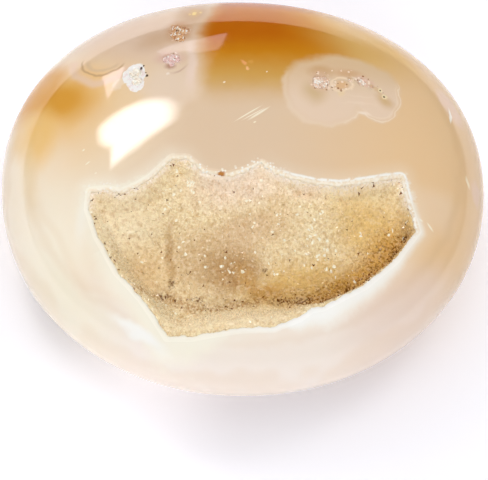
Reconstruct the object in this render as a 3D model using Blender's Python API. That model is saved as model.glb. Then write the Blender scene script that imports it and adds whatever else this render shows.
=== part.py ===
"""Agate palm stone: a polished oval pebble with an open pocket of tiny quartz crystals.

The stone lies on a small flat ground on its underside. The pocket opens on its upper face, towards -Y,
and four small pits near the far edge hold crystals too. The crystals of each hollow are one crust.
Lengths are in metres, +Z is up, and the origin is the middle of the flat under the stone.
"""

import math
import random

import bmesh
import bpy
from mathutils import Vector, geometry

MM = 0.001

# The polished oval
HALF_LENGTH = 32.5 * MM
HALF_WIDTH = 29.4 * MM
HALF_HEIGHT = 12.8 * MM
GROUND_OFF = 0.8 * MM  # the flat under the stone takes this much off the full oval
CENTRE_HEIGHT = HALF_HEIGHT - GROUND_OFF
OUTLINE_POWER = 2.08  # 2 is an ellipse, and more is squarer
PROFILE_POWER = 2.2
TAPER = 0.032  # how much wider the far half is than the near half, as a share
SHOULDER = 0.04  # how far the far left shoulder swells out, as a share
SHOULDER_BEARING = math.radians(130)
SHOULDER_SPREAD = math.radians(42)
FAR_SWELL = 0.016  # how far the far side swells out, as a share
FAR_SWELL_BEARING = math.radians(78)
FAR_SWELL_SPREAD = math.radians(33)
SIDES = 88
LEVELS = 24

# The rim of the pocket, clockwise from its far left corner, in millimetres
POCKET_RIM = (
    (-20.1, -5.4), (-18.0, -5.5), (-16.1, -6.2), (-14.0, -5.5), (-12.2, -4.5), (-9.4, -1.7),
    (-7.4, -1.8), (-5.2, -4.0), (-2.0, -4.6), (0.5, -3.7), (2.3, -2.8), (4.0, -4.2),
    (6.0, -5.0), (9.3, -5.7), (12.4, -5.8), (16.3, -4.9), (20.5, -3.7), (21.3, -7.6),
    (22.3, -10.9), (19.2, -15.2), (15.1, -18.8), (9.7, -21.7), (8.3, -22.0), (6.7, -23.1),
    (3.5, -24.3), (-0.4, -24.4), (-6.9, -25.0), (-10.1, -24.7), (-12.4, -21.5), (-13.4, -20.1),
    (-16.5, -16.6), (-19.0, -11.8), (-20.3, -7.8),
)
RIM_STEP = 1.5 * MM
RIM_CHIPPING = 0.14 * MM
RIM_CHAMFER = 0.3 * MM

# The druse in the pocket: it falls from the far rim to a crevice along the near wall
POCKET_MIDDLE = (0.5, -13.5)
FAR_EDGE, FAR_HEIGHT = -4.0, 23.3  # y and z in millimetres
CREVICE_EDGE, CREVICE_HEIGHT = -19.0, 16.2
END_RISE = -1.6  # the two ends lie this much lower than the middle at 20 mm from it
# Rounded swells of the druse, and dips where the height is negative: x, y, radius and height
SWELLS = (
    (-15.5, -10.0, 4.5, 0.9),
    (-6.0, -14.5, 4.0, 1.0),
    (8.0, -11.0, 6.5, 1.7),
    (-0.5, -4.5, 4.0, 0.7),
    (-10.2, -12.0, 2.0, -1.0),
    (-1.0, -14.8, 2.2, -0.9),
    (17.5, -11.5, 4.0, -1.3),
    (14.0, -6.5, 3.0, -0.5),
)
# How far in from the rim each side of the pocket takes to reach the floor: bearing from the middle
# of the pocket in degrees, and run in millimetres
WALL_RUNS = (
    (-180, 3.0), (-150, 3.6), (-120, 5.0), (-70, 5.0), (-50, 3.4), (-25, 1.8), (10, 1.3), (90, 1.1),
    (150, 2.0), (180, 3.0),
)
EDGE_DEPTH = 0.4 * MM  # the druse starts this far below the polished face
CRUST_THICKNESS = 1.0 * MM
GAP = 0.35 * MM

# The small pits: outline in millimetres, depth and the step between its crystals
PITS = {
    "eye_pit": (
        (
            (8.9, 10.2), (9.7, 11.8), (11.2, 11.9), (12.6, 11.2), (14.4, 12.0), (16.4, 11.5),
            (18.3, 10.4), (19.4, 8.9), (18.6, 8.1), (17.1, 9.3), (15.2, 9.9), (13.0, 9.0),
            (11.4, 8.7), (10.0, 8.5),
        ),
        1.1 * MM,
        0.75 * MM,
    ),
    "white_pit": (
        ((-15.6, 12.3), (-15.1, 13.8), (-13.9, 14.0), (-12.9, 12.6), (-13.3, 10.8), (-14.4, 9.9), (-15.2, 10.8)),
        0.9 * MM,
        0.7 * MM,
    ),
    "pink_pit": (
        ((-10.8, 14.9), (-10.2, 16.1), (-8.9, 16.0), (-8.2, 14.7), (-8.8, 13.3), (-10.1, 13.3)),
        1.0 * MM,
        0.7 * MM,
    ),
    "gold_pit": (
        ((-10.2, 20.2), (-9.6, 22.0), (-8.2, 22.1), (-7.3, 20.2), (-7.9, 18.2), (-9.4, 18.0)),
        1.0 * MM,
        0.75 * MM,
    ),
}
PIT_CRUST_THICKNESS = 0.4 * MM

CRYSTAL_STEP = 1.35 * MM
CRYSTAL_HEIGHT = 0.42 * MM
CUTTER_TOP = 28 * MM


def outline_radius(bearing):
    """Distance from the middle to the stone's widest line, seen from above, along a bearing in radians."""
    along, across = math.cos(bearing), math.sin(bearing)
    squared = abs(along / HALF_LENGTH) ** OUTLINE_POWER + abs(across / HALF_WIDTH) ** OUTLINE_POWER
    swell = 1 + TAPER * across * along**2
    for share, middle, spread in (
        (SHOULDER, SHOULDER_BEARING, SHOULDER_SPREAD), (FAR_SWELL, FAR_SWELL_BEARING, FAR_SWELL_SPREAD),
    ):
        off = math.remainder(bearing - middle, math.tau) / spread
        swell += share * math.exp(-(off**2))
    return squared ** (-1 / OUTLINE_POWER) * swell


def top_height(x, y):
    """Height of the polished upper face over a point."""
    share = math.hypot(x, y) / outline_radius(math.atan2(y, x))
    return CENTRE_HEIGHT + HALF_HEIGHT * max(0, 1 - share**PROFILE_POWER) ** (1 / PROFILE_POWER)


def smooth(share):
    share = min(max(share, 0), 1)
    return share * share * (3 - 2 * share)


def distance_to(outline, point):
    """Distance from a plan point to the nearest side of a closed outline."""
    nearest = math.inf
    for start, end in zip(outline, outline[1:] + outline[:1]):
        foot, share = geometry.intersect_point_line(point, start, end)
        foot = start.lerp(end, min(max(share, 0), 1))
        nearest = min(nearest, (foot - point).length)
    return nearest


def is_inside(outline, point):
    inside = False
    for start, end in zip(outline, outline[1:] + outline[:1]):
        if (start.y > point.y) != (end.y > point.y):
            crossing = start.x + (end.x - start.x) * (point.y - start.y) / (end.y - start.y)
            inside ^= point.x < crossing
    return inside


def grow(outline, distance):
    """The outline with each corner moved outwards by a distance, or inwards if it is negative."""
    grown = []
    for before, corner, after in zip(outline[-1:] + outline[:-1], outline, outline[1:] + outline[:1]):
        along = ((corner - before).normalized() + (after - corner).normalized()).normalized()
        grown.append(corner + distance * Vector((-along.y, along.x)))
    return grown


def chipped(corners_mm, step, chipping, seed):
    """A closed outline through the corners, with points a step apart that stray a little to each side."""
    stray = random.Random(seed)
    corners = [Vector(corner) * MM for corner in corners_mm]
    outline = []
    for start, end in zip(corners, corners[1:] + corners[:1]):
        count = max(1, round((end - start).length / step))
        across = Vector((end.y - start.y, start.x - end.x)).normalized()
        outline.append(start)
        for i in range(1, count):
            outline.append(start.lerp(end, i / count) + across * stray.uniform(-chipping, chipping))
    return outline


def spread(outline, step):
    """Plan points about a step apart inside an outline, clear of its sides."""
    points = []
    row_step = step * math.sqrt(3) / 2
    rows = [math.floor(bound / row_step) for bound in (min(p.y for p in outline), max(p.y for p in outline))]
    columns = [math.floor(bound / step) for bound in (min(p.x for p in outline), max(p.x for p in outline))]
    for row in range(rows[0], rows[1] + 2):
        for column in range(columns[0] - 1, columns[1] + 2):
            stray = random.Random(f"{row} {column}")
            point = Vector(((column + 0.5 * (row % 2)) * step, row * row_step))
            point += Vector((stray.uniform(-0.25, 0.25), stray.uniform(-0.25, 0.25))) * step
            if is_inside(outline, point) and distance_to(outline, point) > GAP + 0.4 * step:
                points.append(point)
    return points


def sheet(bm, outline, points, height_at):
    """Fills an outline with triangles between its corners and the points inside, and returns its faces."""
    sides = [(i, (i + 1) % len(outline)) for i in range(len(outline))]
    flat, _, triangles, _, _, _ = geometry.delaunay_2d_cdt(outline + points, sides, [], 1, 1e-7)
    verts = [bm.verts.new((p.x, p.y, height_at(p))) for p in flat]
    return [bm.faces.new([verts[i] for i in triangle]) for triangle in triangles]


def outer_edges(faces):
    return [edge for face in faces for edge in face.edges if len(edge.link_faces) == 1]


def finish_mesh(bm, name, material, flat_faces=False):
    bmesh.ops.recalc_face_normals(bm, faces=bm.faces)
    mesh = bpy.data.meshes.new(name)
    bm.to_mesh(mesh)
    bm.free()
    if not flat_faces:
        mesh.shade_smooth()
        mesh.set_sharp_from_angle(angle=math.radians(35))
    piece = bpy.data.objects.new(name, mesh)
    piece.data.materials.append(material)
    bpy.context.scene.collection.objects.link(piece)
    return piece


def plain_material(name, colour, roughness):
    material = bpy.data.materials.new(name)
    material.use_nodes = True
    shader = material.node_tree.nodes["Principled BSDF"]
    shader.inputs["Base Color"].default_value = (*colour, 1)
    shader.inputs["Roughness"].default_value = roughness
    shader.inputs["Metallic"].default_value = 0
    return material


def polished_stone(material):
    """The whole oval before its hollows: a sphere drawn out to the outline and profile, ground flat below."""
    bm = bmesh.new()
    bmesh.ops.create_uvsphere(bm, u_segments=SIDES, v_segments=LEVELS, radius=1)
    for vert in bm.verts:
        bearing = math.atan2(vert.co.y, vert.co.x)
        reach = outline_radius(bearing) * math.hypot(vert.co.x, vert.co.y) ** (2 / PROFILE_POWER)
        rise = math.copysign(abs(vert.co.z) ** (2 / PROFILE_POWER), vert.co.z)
        vert.co = (
            reach * math.cos(bearing),
            reach * math.sin(bearing),
            CENTRE_HEIGHT + HALF_HEIGHT * rise,
        )
    everything = bm.verts[:] + bm.edges[:] + bm.faces[:]
    cut = bmesh.ops.bisect_plane(bm, geom=everything, plane_co=(0, 0, 0), plane_no=(0, 0, -1), clear_outer=True)
    rim = [edge for edge in cut["geom_cut"] if isinstance(edge, bmesh.types.BMEdge)]
    bmesh.ops.contextual_create(bm, geom=rim)
    return finish_mesh(bm, "agate_stone", material)


def cut_hollow(stone, name, outline, points, floor_height, chamfer):
    """Takes a hollow out of the stone: a floor, a wall up to the polished face and a chamfer round the rim."""
    bm = bmesh.new()
    floor = sheet(bm, outline, points, floor_height)
    rim = bmesh.ops.extrude_edge_only(bm, edges=outer_edges(floor))["geom"]
    for vert in (v for v in rim if isinstance(v, bmesh.types.BMVert)):
        nearest = min(range(len(outline)), key=lambda i: (outline[i] - vert.co.xy).length)
        vert.co.xy = grow(outline, chamfer)[nearest]
        vert.co.z = top_height(*vert.co.xy) + chamfer
    lid = bmesh.ops.extrude_edge_only(bm, edges=[e for e in rim if isinstance(e, bmesh.types.BMEdge)])["geom"]
    for vert in (v for v in lid if isinstance(v, bmesh.types.BMVert)):
        vert.co.z = CUTTER_TOP
    bmesh.ops.contextual_create(bm, geom=[e for e in lid if isinstance(e, bmesh.types.BMEdge)])
    cutter = finish_mesh(bm, name + "_cutter", stone.data.materials[0])
    cutter.hide_render = True
    cutter.display_type = "WIRE"
    cut = stone.modifiers.new(name, "BOOLEAN")
    cut.operation = "DIFFERENCE"
    cut.solver = "EXACT"
    cut.object = cutter


def crystal_crust(name, outline, points, druse_height, thickness, crystal_height, material, seed):
    """A crust of pointed crystals over a plain underside, joined by a low wall round its edge."""
    bm = bmesh.new()
    druse = sheet(bm, outline, points, druse_height)
    underside = sheet(bm, outline, points, lambda p: druse_height(p) - thickness)
    bmesh.ops.bridge_loops(bm, edges=outer_edges(druse) + outer_edges(underside))
    stray = random.Random(seed)
    for face in druse:
        point = bmesh.ops.poke(bm, faces=[face], offset=crystal_height * stray.uniform(0.5, 1.4))["verts"][0]
        point.co.xy += Vector((stray.uniform(-1, 1), stray.uniform(-1, 1))) * 0.35 * crystal_height
    return finish_mesh(bm, name, material, flat_faces=True)


def wall_run(x, y):
    """How far in from the rim the pocket's wall reaches the floor, on this side of the pocket."""
    bearing = math.degrees(math.atan2(y / MM - POCKET_MIDDLE[1], x / MM - POCKET_MIDDLE[0]))
    for (start, run), (end, next_run) in zip(WALL_RUNS, WALL_RUNS[1:]):
        if bearing <= end:
            return (run + (next_run - run) * smooth((bearing - start) / (end - start))) * MM
    return WALL_RUNS[-1][1] * MM


def pocket_floor(x, y):
    """Height of the druse away from the pocket's walls."""
    share = min(max((y / MM - CREVICE_EDGE) / (FAR_EDGE - CREVICE_EDGE), 0), 1)
    height = CREVICE_HEIGHT + (FAR_HEIGHT - CREVICE_HEIGHT) * share + END_RISE * (x / MM / 20) ** 2
    for swell_x, swell_y, radius, rise in SWELLS:
        away = math.hypot(x / MM - swell_x, y / MM - swell_y) / radius
        height += rise * math.exp(-(away**2))
    return height * MM


def druse_in(rim, floor_at, run_at):
    """The height of a druse over a plan point: it starts under the rim and drops to its floor."""

    def height(point):
        edge = top_height(*point) - EDGE_DEPTH
        share = smooth(distance_to(rim, point) / run_at(*point))
        return edge + (min(floor_at(*point), edge) - edge) * share

    return height


for old in list(bpy.data.objects):
    bpy.data.objects.remove(old)

agate = plain_material("Polished agate", (0.78, 0.62, 0.42), 0.08)
druse_material = plain_material("Sandy quartz druse", (0.72, 0.56, 0.36), 0.35)
white_material = plain_material("White quartz", (0.90, 0.84, 0.76), 0.3)
pink_material = plain_material("Pink quartz", (0.82, 0.62, 0.55), 0.3)
gold_material = plain_material("Golden quartz", (0.75, 0.50, 0.26), 0.3)
pit_materials = {
    "eye_pit": pink_material,
    "white_pit": white_material,
    "pink_pit": pink_material,
    "gold_pit": gold_material,
}

stone = polished_stone(agate)

rim = chipped(POCKET_RIM, RIM_STEP, RIM_CHIPPING, seed=11)
druse_height = druse_in(rim, pocket_floor, wall_run)
druse_points = spread(rim, CRYSTAL_STEP)
cut_hollow(
    stone, "pocket", rim, druse_points, lambda p: druse_height(p) - CRUST_THICKNESS - GAP, RIM_CHAMFER
)
crystal_crust(
    "druzy_crust", grow(rim, -GAP), druse_points, druse_height, CRUST_THICKNESS, CRYSTAL_HEIGHT,
    druse_material, seed=5,
)

for name, (corners, depth, step) in PITS.items():
    pit_rim = chipped(corners, step, 0, seed=1)
    pit_height = druse_in(pit_rim, lambda x, y: top_height(x, y) - depth, lambda x, y: 0.8 * MM)
    pit_points = spread(pit_rim, step)
    cut_hollow(stone, name, pit_rim, pit_points, lambda p: pit_height(p) - PIT_CRUST_THICKNESS - GAP, 0.1 * MM)
    crystal_crust(
        name + "_crust", grow(pit_rim, -0.8 * GAP), pit_points, pit_height, PIT_CRUST_THICKNESS,
        0.5 * CRYSTAL_HEIGHT, pit_materials[name], seed=7,
    )
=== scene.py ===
import math
import random

import bmesh
import bpy
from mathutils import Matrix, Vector, geometry, noise


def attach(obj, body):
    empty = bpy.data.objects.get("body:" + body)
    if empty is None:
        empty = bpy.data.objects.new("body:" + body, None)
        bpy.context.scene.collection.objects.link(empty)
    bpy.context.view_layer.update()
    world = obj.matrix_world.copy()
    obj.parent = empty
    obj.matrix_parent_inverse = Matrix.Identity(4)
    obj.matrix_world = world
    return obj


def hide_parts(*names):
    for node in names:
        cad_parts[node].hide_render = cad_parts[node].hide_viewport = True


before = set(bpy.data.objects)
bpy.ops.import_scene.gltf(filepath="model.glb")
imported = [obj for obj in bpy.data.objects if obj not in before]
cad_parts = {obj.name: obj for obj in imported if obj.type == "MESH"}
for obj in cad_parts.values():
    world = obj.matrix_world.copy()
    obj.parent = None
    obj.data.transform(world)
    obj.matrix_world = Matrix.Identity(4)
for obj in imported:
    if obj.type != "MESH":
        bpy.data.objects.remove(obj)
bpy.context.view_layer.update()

# The polished stone. A pebble of agate, ground to an oval and polished to a wet gloss, with an open pocket
# on its upper face. It is one skin drawn ring by ring: from the flat underneath, out round the widest line,
# over the polished face, over the lip of the pocket and down inside it.
MM = 0.001
HALF_LENGTH, HALF_WIDTH, HALF_HEIGHT = 32.45 * MM, 29.35 * MM, 12.77 * MM
# The height of the widest line; the flat underneath cuts off a little of the lower half
CENTRE_HEIGHT = 12.0 * MM
# How square the outline and the profile are, 2 being round, and how much the outline narrows to the near side
OUTLINE_POWER, PROFILE_POWER = 2.08, 2.2
TAPER = 0.032
# Where the outline swells out: share, bearing and spread
SWELLINGS = ((0.04, math.radians(130), math.radians(42)), (0.016, math.radians(78), math.radians(33)))
# The pocket, and the chips of its rim, each so deep and so fine
POCKET_MIDDLE = Vector((0.5, -13.5)) * MM
POCKET_RIM = [Vector(corner) * MM for corner in (
    (-20.1, -5.4), (-18.0, -5.5), (-16.1, -6.2), (-14.0, -5.5), (-12.2, -4.5), (-9.4, -1.7),
    (-7.4, -1.8), (-5.2, -4.0), (-2.0, -4.6), (0.5, -3.7), (2.3, -2.8), (4.0, -4.2),
    (6.0, -5.0), (9.3, -5.7), (12.4, -5.8), (16.3, -4.9), (20.5, -3.7), (21.3, -7.6),
    (22.3, -10.9), (19.2, -15.2), (15.1, -18.8), (9.7, -21.7), (8.3, -22.0), (6.7, -23.1),
    (3.5, -24.3), (-0.4, -24.4), (-6.9, -25.0), (-10.1, -24.7), (-12.4, -21.5), (-13.4, -20.1),
    (-16.5, -16.6), (-19.0, -11.8), (-20.3, -7.8),
)]
RIM_CHIPS = ((0.16, 0.9), (0.10, 2.6), (0.04, 6))
# The skin is drawn along this many spokes, with this many rings under, over and round the lip
SPOKES, UNDER_RINGS, DOME_RINGS, LIP_RINGS = 640, 28, 56, 10
# The hollow behind the druse: share of the way out to the rim, and how far it lies below, in millimetres
HOLLOW = ((1, 1.2), (0.97, 1.6), (0.9, 1.4), (0.7, 1.3), (0.45, 1.3), (0.2, 1.3))
# Round the pocket, by bearing from its middle in degrees: width of the white quartz along the rim in
# millimetres, and how white it is; on the near side, where it is widest and whitest, the white is partly a
# painted highlight where the lip catches the light
RIM_WHITES = (
    (-180, 1.4, 0.6), (-160, 1.8, 0.75), (-140, 2.1, 1.0), (-125, 2.0, 1.0), (-100, 0.5, 0.8),
    (-70, 0.5, 0.8), (-58, 1.2, 1.0), (-42, 2.0, 1.0), (-15, 1.4, 0.85), (0, 0.9, 0.75), (20, 0.8, 0.6),
    (30, 0.5, 0.6), (60, 0.4, 0.5), (85, 0.3, 0.05), (115, 0.3, 0.05), (135, 0.5, 0.5), (150, 0.7, 0.7),
    (165, 0.9, 0.6), (180, 1.2, 0.45),
)
# The small pits: depth, and the round dips that each is made of as x, y and radius in millimetres
SMALL_PITS = {
    "eye_pit": (0.6 * MM, (
        (10.4, 10.5, 1.15), (14.3, 11.2, 0.3), (15.9, 11.0, 0.6), (17.3, 10.4, 0.25),
    )),
    "white_pit": (0.5 * MM, ((-14.4, 12.7, 0.9), (-14.1, 11.3, 0.8))),
    "pink_pit": (0.5 * MM, ((-10.0, 14.9, 0.8), (-9.2, 14.9, 0.85), (-9.5, 13.9, 0.4))),
    "gold_pit": (0.6 * MM, ((-8.9, 19.8, 1.0), (-8.9, 21.1, 0.8), (-8.5, 18.8, 0.7), (-7.8, 20.4, 0.6))),
}


def outline_radius(bearing):
    """Distance from the middle to the widest line of the stone, along a bearing in radians."""
    along, across = math.cos(bearing), math.sin(bearing)
    squared = abs(along / HALF_LENGTH) ** OUTLINE_POWER + abs(across / HALF_WIDTH) ** OUTLINE_POWER
    swell = 1 + TAPER * across * along**2
    for share, middle, spread in SWELLINGS:
        swell += share * math.exp(-((math.remainder(bearing - middle, math.tau) / spread) ** 2))
    return squared ** (-1 / OUTLINE_POWER) * swell


def outline_share(x, y):
    return math.hypot(x, y) / outline_radius(math.atan2(y, x))


def top_height(x, y):
    share = min(outline_share(x, y), 1)
    return CENTRE_HEIGHT + HALF_HEIGHT * (1 - share**PROFILE_POWER) ** (1 / PROFILE_POWER)


def smooth(share):
    share = min(max(share, 0), 1)
    return share * share * (3 - 2 * share)


def from_table(table, bearing):
    """The values of a table by bearing in degrees, eased from one row to the next."""
    for (start, *values), (end, *next_values) in zip(table, table[1:]):
        if bearing <= end:
            share = smooth((bearing - start) / (end - start))
            return [value + (other - value) * share for value, other in zip(values, next_values)]
    return list(table[-1][1:])


def distance_to_side(start, end, point):
    side = end - start
    share = min(max((point - start).dot(side) / side.length_squared, 0), 1)
    return (start + side * share - point).length


def distance_inside(outline, point):
    """Distance from a plan point to the nearest side of an outline: positive inside it, negative outside."""
    nearest, inside = math.inf, False
    for start, end in zip(outline, outline[1:] + outline[:1]):
        nearest = min(nearest, distance_to_side(start, end, point))
        if (start.y > point.y) != (end.y > point.y):
            side = end - start
            inside ^= point.x < start.x + side.x * (point.y - start.y) / side.y
    return nearest if inside else -nearest


def evenly_round(corners, count):
    """Points at even steps round a closed outline."""
    sides = [(start, end) for start, end in zip(corners, corners[1:] + corners[:1])]
    total = sum((end - start).length for start, end in sides)
    points, gone = [], 0
    for start, end in sides:
        length = (end - start).length
        while len(points) < count and len(points) * total / count <= gone + length:
            points.append(start.lerp(end, (len(points) * total / count - gone) / length))
        gone += length
    return points


def side_normals(points, reach):
    """Outward direction at each point of a clockwise outline, over a few neighbours."""
    count = len(points)
    along = [points[(i + reach) % count] - points[i - reach] for i in range(count)]
    return [Vector((-a.y, a.x)).normalized() for a in along]


def roughness(point, waves):
    """Uneven heights in millimetres at a plan point, from waves of noise, each so high and so fine."""
    return sum(height * noise.noise(point.to_3d() / MM * fineness) for height, fineness in waves)


def broken_rim():
    """The rim of the pocket with the small chips of a broken edge."""
    even = evenly_round(POCKET_RIM, SPOKES)
    rim = []
    for point, out in zip(even, side_normals(even, 3)):
        x, y = point / MM
        ragged = smooth(1.6 - abs(x + 1) / 6) if y > -8 else 0
        rim.append(point + out * roughness(point, RIM_CHIPS) * (1 + 1.2 * ragged) * MM)
    return rim


BY_BEARING = 0.45


def widest_points(rim):
    """A point on the widest line for each point of the rim, turned partly by bearing and partly by count."""
    bearings, last = [], None
    for point in rim:
        bearing = math.atan2(*(point - POCKET_MIDDLE).yx)
        if last is not None:
            bearing = last + math.remainder(bearing - last, math.tau)
        bearings.append(bearing)
        last = bearing
    turn = math.copysign(math.tau, bearings[-1] - bearings[0]) / len(rim)
    start = sum(bearing - turn * i for i, bearing in enumerate(bearings)) / len(rim)
    widest = []
    for i, bearing in enumerate(bearings):
        bearing = BY_BEARING * bearing + (1 - BY_BEARING) * (start + turn * i)
        heading = Vector((math.cos(bearing), math.sin(bearing)))
        near, far = 0, 80 * MM
        for _ in range(40):
            reach = (near + far) / 2
            if outline_share(*(POCKET_MIDDLE + heading * reach)) < 1:
                near = reach
            else:
                far = reach
        widest.append(POCKET_MIDDLE + heading * near)
    return widest


rim = broken_rim()
rim_out = side_normals(rim, 7)
widest = widest_points(rim)
whites = [
    from_table(RIM_WHITES, math.degrees(math.atan2(*(point - POCKET_MIDDLE).yx))) for point in rim
]
FLAT_SHARE = (1 - (CENTRE_HEIGHT / HALF_HEIGHT) ** PROFILE_POWER) ** (1 / PROFILE_POWER)


def rim_drop(point):
    """How far below the polish the druse meets the rim, in millimetres: less at the far side."""
    return 0.28 + 0.17 * smooth((-6 - point.y / MM) / 6)


def lip_starts():
    """Where the lip begins to roll over: close to the rim, but farther out along the near right side."""
    starts = []
    for point, out, (width, _) in zip(rim, rim_out, whites):
        rolled = smooth((point.x / MM + 2) / 8) * smooth((-8 - point.y / MM) / 6)
        starts.append(point + out * (0.22 + 0.23 * rolled + (0.1 + 0.5 * rolled) * width) * MM)
    for _ in range(12):
        starts = [
            (before + 2 * start + after) / 4
            for before, start, after in zip(starts[-1:] + starts, starts, starts[1:] + starts[:1])
        ]
    return starts


lip_start = lip_starts()


def next_ring(bm, edges):
    """Extrudes a ring of edges in place, and gives its new corners and its new edges."""
    made = bmesh.ops.extrude_edge_only(bm, edges=edges)["geom"]
    corners = [part for part in made if isinstance(part, bmesh.types.BMVert)]
    return corners, [part for part in made if isinstance(part, bmesh.types.BMEdge)]


def as_piece(bm, name):
    """The finished mesh as a piece of the scene."""
    mesh = bpy.data.meshes.new(name)
    bm.to_mesh(mesh)
    bm.free()
    piece = bpy.data.objects.new(name, mesh)
    bpy.context.scene.collection.objects.link(piece)
    return piece


def under_ring(share):
    """A ring of the underside, from the flat to the widest line."""
    fall = HALF_HEIGHT * max(0, 1 - share**PROFILE_POWER) ** (1 / PROFILE_POWER)
    return [(widest[i] * share).to_3d() + Vector((0, 0, CENTRE_HEIGHT - fall)) for i in range(SPOKES)]


def dome_ring(share):
    """A ring of the polished face, from the widest line at 0 to the start of the lip at 1."""
    ring = []
    for i in range(SPOKES):
        point = lip_start[i].lerp(widest[i], math.cos(share * math.pi / 2))
        ring.append((*point, top_height(*point)))
    return ring


def lip_ring(share):
    """A ring of the lip, rolling from the polished face at 0 over to the pocket's wall at 1."""
    ring = []
    for i in range(SPOKES):
        turn = share * math.pi / 2
        point = lip_start[i].lerp(rim[i] - rim_out[i] * 0.12 * MM, math.sin(turn))
        fall = (rim_drop(rim[i]) - 0.1 + 0.12 * whites[i][0]) * (1 - math.cos(turn))
        ring.append((*point, top_height(*point) - fall * MM))
    return ring


def inner_ring(share, drop):
    """A ring of the hollow behind the druse."""
    ring = []
    for i in range(SPOKES):
        point = POCKET_MIDDLE.lerp(rim[i] - rim_out[i] * 0.3 * MM, share)
        ring.append((*point, min(druse_height(point), top_height(*rim[i])) - drop * MM))
    return ring


# The druse's own heights in millimetres, which the hollow behind it follows: in the crevice, how much it rises
# to the far side and falls to its ends, its swells by place, radius and rise, and how wide its walls are by
# bearing from the middle
CREVICE_HEIGHT, FAR_RISE, END_FALL = 16.2, 7.1, 1.6
SWELLS = (
    (-15.5, -10.0, 4.5, 0.9), (-6.0, -14.5, 4.0, 1.0), (8.0, -11.0, 6.5, 1.7), (-0.5, -4.5, 4.0, 0.7),
    (-10.2, -12.0, 2.0, -1.0), (-1.0, -14.8, 2.2, -0.9), (17.5, -11.5, 4.0, -1.3), (14.0, -6.5, 3.0, -0.5),
)
WALL_RUNS = (
    (-180, 3.0), (-150, 3.6), (-120, 5.0), (-70, 5.0), (-50, 3.4), (-25, 1.8), (10, 1.3), (90, 1.1),
    (150, 2.0), (180, 3.0),
)


def druse_height(point):
    """Height of the druse in the pocket: under the lip at the rim, falling to a crevice along the near wall."""
    x, y = point / MM
    bearing = math.degrees(math.atan2(*(point - POCKET_MIDDLE).yx))
    run = from_table(WALL_RUNS, bearing)[0]
    floor = CREVICE_HEIGHT + FAR_RISE * min(max((y + 19) / 15, 0), 1) - END_FALL * (x / 20) ** 2
    for swell_x, swell_y, radius, rise in SWELLS:
        floor += rise * math.exp(-(((x - swell_x) ** 2 + (y - swell_y) ** 2) / radius**2))
    edge = top_height(*point) / MM - rim_drop(point)
    share = smooth(max(0, distance_inside(POCKET_RIM, point)) / MM / run)
    return (edge + (min(floor, edge) - edge) * share) * MM


bm = bmesh.new()
spoke = bm.verts.layers.int.new("spoke")
rim_gap = bm.verts.layers.float.new("rim_gap")
rim_white = bm.verts.layers.float.new("rim_white")
rim_strength = bm.verts.layers.float.new("rim_strength")
flat = bmesh.ops.create_circle(bm, segments=SPOKES, radius=10 * MM, cap_ends=True)["verts"]
for i, (vert, place) in enumerate(zip(flat, under_ring(FLAT_SHARE))):
    vert[spoke] = i
    vert.co = place
edges = list(bm.edges)
rings = []
for step in range(1, UNDER_RINGS + 1):
    rings.append(under_ring(FLAT_SHARE + (1 - FLAT_SHARE) * math.sin(step / UNDER_RINGS * math.pi / 2)))
rings += [dome_ring(step / DOME_RINGS) for step in range(1, DOME_RINGS + 1)]
rings += [lip_ring(step / LIP_RINGS) for step in range(1, LIP_RINGS + 1)]
rings += [inner_ring(share, drop) for share, drop in HOLLOW]
for ring in rings:
    corners, edges = next_ring(bm, edges)
    for vert in corners:
        vert.co = ring[vert[spoke]]
bmesh.ops.contextual_create(bm, geom=edges)


def depth_in_dips(dips, point):
    """How far inside the nearest of a pit's dips a plan point lies, in millimetres, with a ragged edge."""
    deepest = max(radius - math.dist(point / MM, (x, y)) for x, y, radius in dips)
    return deepest + roughness(point, ((0.22, 1.3), (0.12, 3.1)))


# Small pits in the polished face. The skin is made finer round each, to this far outside, and pressed in over
# a slope this wide, in millimetres
PIT_MARGIN, PIT_SLOPE = 0.9, 0.35
for depth, dips in SMALL_PITS.values():
    near = [
        edge for edge in bm.edges
        if all(v.co.z > CENTRE_HEIGHT and depth_in_dips(dips, v.co.xy) > -PIT_MARGIN for v in edge.verts)
    ]
    bmesh.ops.subdivide_edges(bm, edges=near, cuts=2, use_grid_fill=True)
    for vert in bm.verts:
        if vert.co.z > CENTRE_HEIGHT:
            inside = depth_in_dips(dips, vert.co.xy)
            if inside > -PIT_MARGIN:
                vert.co.z = top_height(*vert.co.xy) - depth * smooth((inside + 0.1) / PIT_SLOPE)

for vert in bm.verts:
    i = vert[spoke]
    vert[rim_gap] = -distance_inside(POCKET_RIM, vert.co.xy) / MM if vert.co.z > CENTRE_HEIGHT else 99
    vert[rim_white], vert[rim_strength] = whites[i]
bmesh.ops.recalc_face_normals(bm, faces=bm.faces)


def polished_normal(vert):
    """The dome's own direction where the skin lies on it, so that reflections run clean."""
    x, y, z = vert.co
    if z < CENTRE_HEIGHT + 1 * MM or abs(z - top_height(x, y)) > 1e-7:
        return vert.normal
    step = 0.02 * MM
    slope_x = (top_height(x + step, y) - top_height(x - step, y)) / (2 * step)
    slope_y = (top_height(x, y + step) - top_height(x, y - step)) / (2 * step)
    return Vector((-slope_x, -slope_y, 1)).normalized()


polished_stone = as_piece(bm, "polished_stone")
polished_stone.data.shade_smooth()
polished_stone.data.normals_split_custom_set_from_vertices(
    [polished_normal(vert) for vert in polished_stone.data.vertices]
)


def seen(red, green, blue):
    """A colour as it looks, in levels out of 255, for a shader socket."""
    return (*((level / 255) ** 2.2 for level in (red, green, blue)), 1)


def join(tree, kind, inputs, output=0, **settings):
    """Adds a shader node, sets or links its inputs, and gives one of its outputs."""
    made = tree.nodes.new("ShaderNode" + kind)
    for name, value in settings.items():
        setattr(made, name, value)
    for key, value in inputs.items():
        if isinstance(value, bpy.types.NodeSocket):
            tree.links.new(value, made.inputs[key])
        else:
            made.inputs[key].default_value = value
    return made.outputs[output]


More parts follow.
